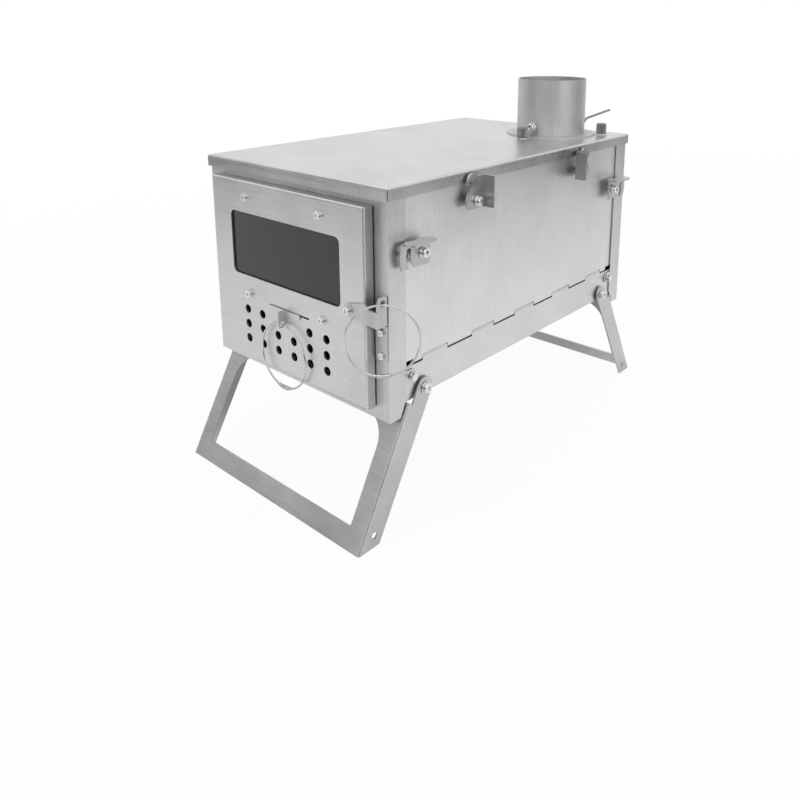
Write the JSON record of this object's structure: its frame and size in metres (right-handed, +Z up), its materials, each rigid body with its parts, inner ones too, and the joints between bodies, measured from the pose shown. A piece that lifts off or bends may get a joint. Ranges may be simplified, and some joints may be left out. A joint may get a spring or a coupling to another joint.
{
  "type": "tent wood stove",
  "caption": "Folding sheet-metal wood stove for a tent, with a glazed fire door, an air slide, a flue collar with damper, and folding legs.",
  "frame": {"origin": "on the ground, under the middle of the top plate", "axes": "+Z up, the fire door faces -Y, the door latch is on the +X side"},
  "size_m": [0.229, 0.3938, 0.304],
  "materials": {
    "panel_steel": "fine brushed, matt",
    "leg_steel": "blasted, matt",
    "screw_steel": "bright",
    "wire_steel": "bright drawn wire",
    "turned_steel": "turned",
    "window_glass": "dark ceramic glass",
    "gasket_fibre": "woven fibre"
  },
  "bodies": {
    "stove": {"top_plate": "panel_steel", "front_frame": "panel_steel", "rear_panel": "panel_steel", "side_panel_right": "panel_steel", "side_panel_left": "panel_steel", "tray": "panel_steel", "fire_grate": "panel_steel", "hinge_pin_right": "wire_steel", "hinge_pin_left": "wire_steel", "flue_collar": "panel_steel", "flue_studs": "turned_steel", "flue_thumb_nuts": "turned_steel", "leg_bolts": "screw_steel", "leg_washers": "turned_steel", "leg_nuts": "turned_steel", "frame_studs": "turned_steel", "frame_hinge_leaf": "panel_steel", "door_hinge_pin": "wire_steel", "hinge_rivets": "turned_steel", "door_catch": "panel_steel", "door_catch_screws": "screw_steel", "latch_screws": "screw_steel", "latch_spacers": "turned_steel", "latch_nuts": "turned_steel", "side_latch_studs": "turned_steel", "top_latch_studs": "turned_steel"},
    "damper": {"damper_axle": "wire_steel", "damper_disc": "panel_steel", "damper_screws": "screw_steel", "damper_end_screw": "screw_steel"},
    "leg_front": {"leg_front": "leg_steel"},
    "leg_rear": {"leg_rear": "leg_steel"},
    "door": {"door_pan": "panel_steel", "door_hinge_leaf": "panel_steel", "window_gasket": "gasket_fibre", "window_glass": "window_glass", "window_frame": "panel_steel", "window_screws": "screw_steel", "window_nuts": "turned_steel", "slide_guides": "panel_steel", "door_latch": "panel_steel", "door_latch_screw": "screw_steel"},
    "air_slide": {"air_slide": "panel_steel"},
    "air_ring": {"air_ring": "wire_steel", "air_ring_barrel": "wire_steel"},
    "door_ring": {"door_ring": "wire_steel", "door_ring_barrel": "wire_steel"},
    "side_latch_front_right": {"side_latch_front_right": "panel_steel"},
    "side_latch_front_left": {"side_latch_front_left": "panel_steel"},
    "side_latch_rear_right": {"side_latch_rear_right": "panel_steel"},
    "side_latch_rear_left": {"side_latch_rear_left": "panel_steel"},
    "top_latch_front_right": {"top_latch_front_right": "panel_steel"},
    "top_latch_front_left": {"top_latch_front_left": "panel_steel"},
    "top_latch_rear_right": {"top_latch_rear_right": "panel_steel"},
    "top_latch_rear_left": {"top_latch_rear_left": "panel_steel"}
  },
  "joints": [
    {"name": "door_swing", "type": "hinge", "parent": "stove", "child": "door", "pos_m": [-0.08825, -0.1657, 0.1663], "axis": [0, 0, -1], "range_deg": [0, 110]},
    {"name": "air_slide_travel", "type": "slide", "parent": "door", "child": "air_slide", "axis": [1, 0, 0], "range_m": [0, 0.0092]},
    {"name": "air_ring_swing", "type": "hinge", "parent": "air_slide", "child": "air_ring", "pos_m": [0.0005, -0.1761, 0.13619], "axis": [-1, 0, 0], "range_deg": [0, 90]},
    {"name": "door_ring_swing", "type": "hinge", "parent": "door", "child": "door_ring", "pos_m": [0.0976, -0.168, 0.1734], "axis": [-0.7071, -0.7071, 0], "range_deg": [0, 80]},
    {"name": "damper_turn", "type": "hinge", "parent": "stove", "child": "damper", "pos_m": [0.042, 0.1195, 0.2605], "axis": [0, -1, 0], "range_deg": [0, 90]},
    {"name": "leg_front_fold", "type": "hinge", "parent": "stove", "child": "leg_front", "pos_m": [0, -0.128, 0.1005], "axis": [1, 0, 0], "range_deg": [0, 118.5]},
    {"name": "leg_rear_fold", "type": "hinge", "parent": "stove", "child": "leg_rear", "pos_m": [0, 0.128, 0.1005], "axis": [-1, 0, 0], "range_deg": [0, 118.5]},
    {"name": "side_latch_front_right_turn", "type": "hinge", "parent": "stove", "child": "side_latch_front_right", "pos_m": [0.1028, -0.134, 0.2035], "axis": [-1, 0, 0], "range_deg": [0, 90]},
    {"name": "side_latch_front_left_turn", "type": "hinge", "parent": "stove", "child": "side_latch_front_left", "pos_m": [-0.1028, -0.134, 0.2035], "axis": [-1, 0, 0], "range_deg": [0, 90]},
    {"name": "side_latch_rear_right_turn", "type": "hinge", "parent": "stove", "child": "side_latch_rear_right", "pos_m": [0.1028, 0.134, 0.2035], "axis": [1, 0, 0], "range_deg": [0, 90]},
    {"name": "side_latch_rear_left_turn", "type": "hinge", "parent": "stove", "child": "side_latch_rear_left", "pos_m": [-0.1028, 0.134, 0.2035], "axis": [1, 0, 0], "range_deg": [0, 90]},
    {"name": "top_latch_front_right_turn", "type": "hinge", "parent": "stove", "child": "top_latch_front_right", "pos_m": [0.1028, -0.074, 0.2286], "axis": [-1, 0, 0], "range_deg": [0, 90]},
    {"name": "top_latch_front_left_turn", "type": "hinge", "parent": "stove", "child": "top_latch_front_left", "pos_m": [-0.1028, -0.074, 0.2286], "axis": [-1, 0, 0], "range_deg": [0, 90]},
    {"name": "top_latch_rear_right_turn", "type": "hinge", "parent": "stove", "child": "top_latch_rear_right", "pos_m": [0.1028, 0.074, 0.2286], "axis": [1, 0, 0], "range_deg": [0, 90]},
    {"name": "top_latch_rear_left_turn", "type": "hinge", "parent": "stove", "child": "top_latch_rear_left", "pos_m": [-0.1028, 0.074, 0.2286], "axis": [1, 0, 0], "range_deg": [0, 90]}
  ]
}
